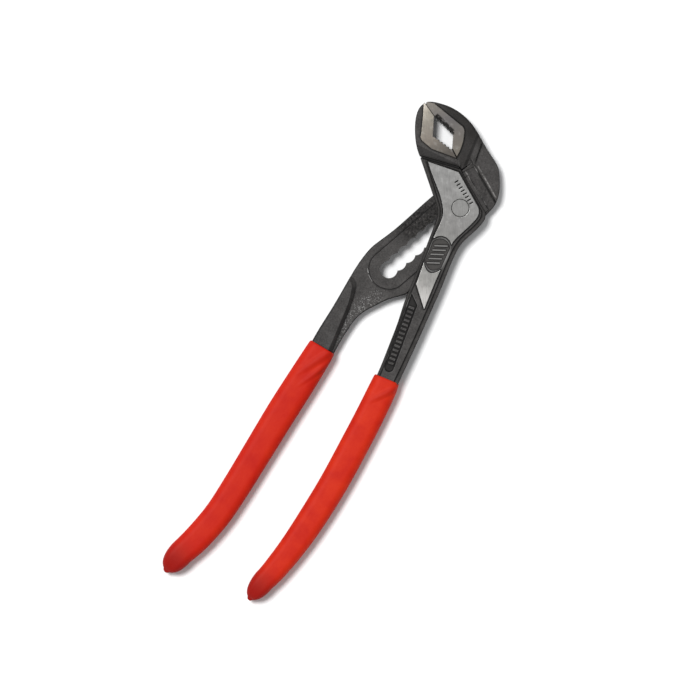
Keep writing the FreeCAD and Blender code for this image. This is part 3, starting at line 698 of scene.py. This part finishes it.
def station_frame(rows, k):
    """The matrix that carries a unit section to a station of the sleeve."""
    middle = min(max(k, len(LIP_ROLL)), len(rows) - 2)
    ahead, behind = rows[middle + 1], rows[middle - 1]
    heading = math.atan2(ahead[1] - behind[1], ahead[0] - behind[0]) - 0.5 * math.pi
    x, y, wide, tall = rows[k]
    place = Matrix.Translation((x * MM, y * MM, MID_Z))
    turn = Matrix.Rotation(heading, 4, "Z") @ Matrix.Rotation(0.5 * math.pi, 4, "X")
    return place @ turn @ Matrix.Diagonal((wide * MM, tall * MM, MM, 1.0))


def sleeve(name, stations, tip, body, node, material):
    """A round-cornered section drawn out from the rolled lip to the drip at the end."""
    rows = sleeve_rows(stations, tip)
    bm = bmesh.new()
    bmesh.ops.create_grid(bm, x_segments=1, y_segments=1, size=1.0)
    bmesh.ops.bevel(bm, geom=bm.verts[:], offset=CORNER_PART, affect="VERTICES", segments=CORNER_STEPS,
                    profile=0.5, material=-1, offset_type="OFFSET", clamp_overlap=True)
    where = station_frame(rows, 0)
    bmesh.ops.transform(bm, matrix=where, verts=bm.verts)
    ring = bm.edges[:]
    for k in range(1, len(rows)):
        grown = bmesh.ops.extrude_edge_only(bm, edges=ring)["geom"]
        ring = [part for part in grown if isinstance(part, bmesh.types.BMEdge)]
        moved = [part for part in grown if isinstance(part, bmesh.types.BMVert)]
        there = station_frame(rows, k)
        bmesh.ops.transform(bm, matrix=there @ where.inverted(), verts=moved)
        where = there
    bmesh.ops.edgeloop_fill(bm, edges=ring)
    bmesh.ops.recalc_face_normals(bm, faces=bm.faces)
    for face in bm.faces:
        face.smooth = True
    mesh = bpy.data.meshes.new(name)
    bm.to_mesh(mesh)
    bm.free()
    obj = bpy.data.objects.new(name, mesh)
    bpy.context.scene.collection.objects.link(obj)
    coat(obj, material)
    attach(obj, body)
    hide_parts(node)


# ---------------------------------------------------------------- the object

coat(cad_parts["box_half"], forged("box_forging", box_tone, box_marks))
coat(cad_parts["tongue_half"], forged("tongue_forging", tongue_tone, tongue_marks))
coat(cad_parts["joint_pin"], pin_steel())
sleeve("box_sleeve", BOX_SLEEVE, BOX_TIP, "box_leg", "box_grip",
       dipped_vinyl("box_vinyl", BOX_DEPTH, BOX_CREASES, BOX_TIP))
sleeve("tongue_sleeve", TONGUE_SLEEVE, TONGUE_TIP, "tongue_leg", "tongue_grip",
       dipped_vinyl("tongue_vinyl", TONGUE_DEPTH, TONGUE_CREASES, TONGUE_TIP))


# ---------------------------------------------------------------- floor, light, camera

FLOOR_SIZE = 3.0
FLOOR_TONES = [(0.0, (0.93, 0.93, 0.93)), (1.0, (0.96, 0.96, 0.96))]
FLOOR_CLOUD = (400.0, 3.0, 0.5)
FLOOR_ROUGH = 0.9
FLOOR_SHEEN = 0.1
SKY = 0.40
SKY_TINT = (0.98, 0.99, 1.0, 1.0)
KEY = 3.0
KEY_SOFT = 20.0
KEY_FROM = (-0.37, 0.10, 0.93)
VIEW_X = -17.0
VIEW_Y = -81.1
VIEW_TURN = 26.0
VIEW_HIGH = 2.6
VIEW_WIDE = 323.2
VIEW_FAR = 20.0
SENSOR = 36.0


def floor():
    bm = bmesh.new()
    bmesh.ops.create_grid(bm, x_segments=1, y_segments=1, size=FLOOR_SIZE)
    mesh = bpy.data.meshes.new("floor")
    bm.to_mesh(mesh)
    bm.free()
    obj = bpy.data.objects.new("floor", mesh)
    bpy.context.scene.collection.objects.link(obj)
    w = Weave("pale_floor")
    w.plug(w.shader.inputs["Base Color"], w.tones(w.noise(*FLOOR_CLOUD), FLOOR_TONES))
    w.shader.inputs["Roughness"].default_value = FLOOR_ROUGH
    w.shader.inputs["Specular IOR Level"].default_value = FLOOR_SHEEN
    coat(obj, w.material)


def light():
    world = bpy.data.worlds.new("studio")
    world.use_nodes = True
    sky = world.node_tree.nodes["Background"]
    sky.inputs["Color"].default_value = SKY_TINT
    sky.inputs["Strength"].default_value = SKY
    bpy.context.scene.world = world
    key = bpy.data.lights.new("key", "SUN")
    key.energy = KEY
    key.angle = math.radians(KEY_SOFT)
    lamp = bpy.data.objects.new("key", key)
    lamp.rotation_euler = Vector(KEY_FROM).to_track_quat("Z", "Y").to_euler()
    bpy.context.scene.collection.objects.link(lamp)


def camera():
    cam = bpy.data.cameras.new("camera")
    cam.sensor_width = SENSOR
    cam.lens = SENSOR * (VIEW_HIGH - MID_Z) / (VIEW_WIDE * MM)
    cam.clip_end = VIEW_FAR
    obj = bpy.data.objects.new("camera", cam)
    obj.location = (VIEW_X * MM, VIEW_Y * MM, VIEW_HIGH)
    obj.rotation_euler = (0.0, 0.0, math.radians(VIEW_TURN))
    bpy.context.scene.collection.objects.link(obj)
    bpy.context.scene.camera = obj


floor()
light()
camera()
bpy.context.scene.view_settings.view_transform = "Standard"
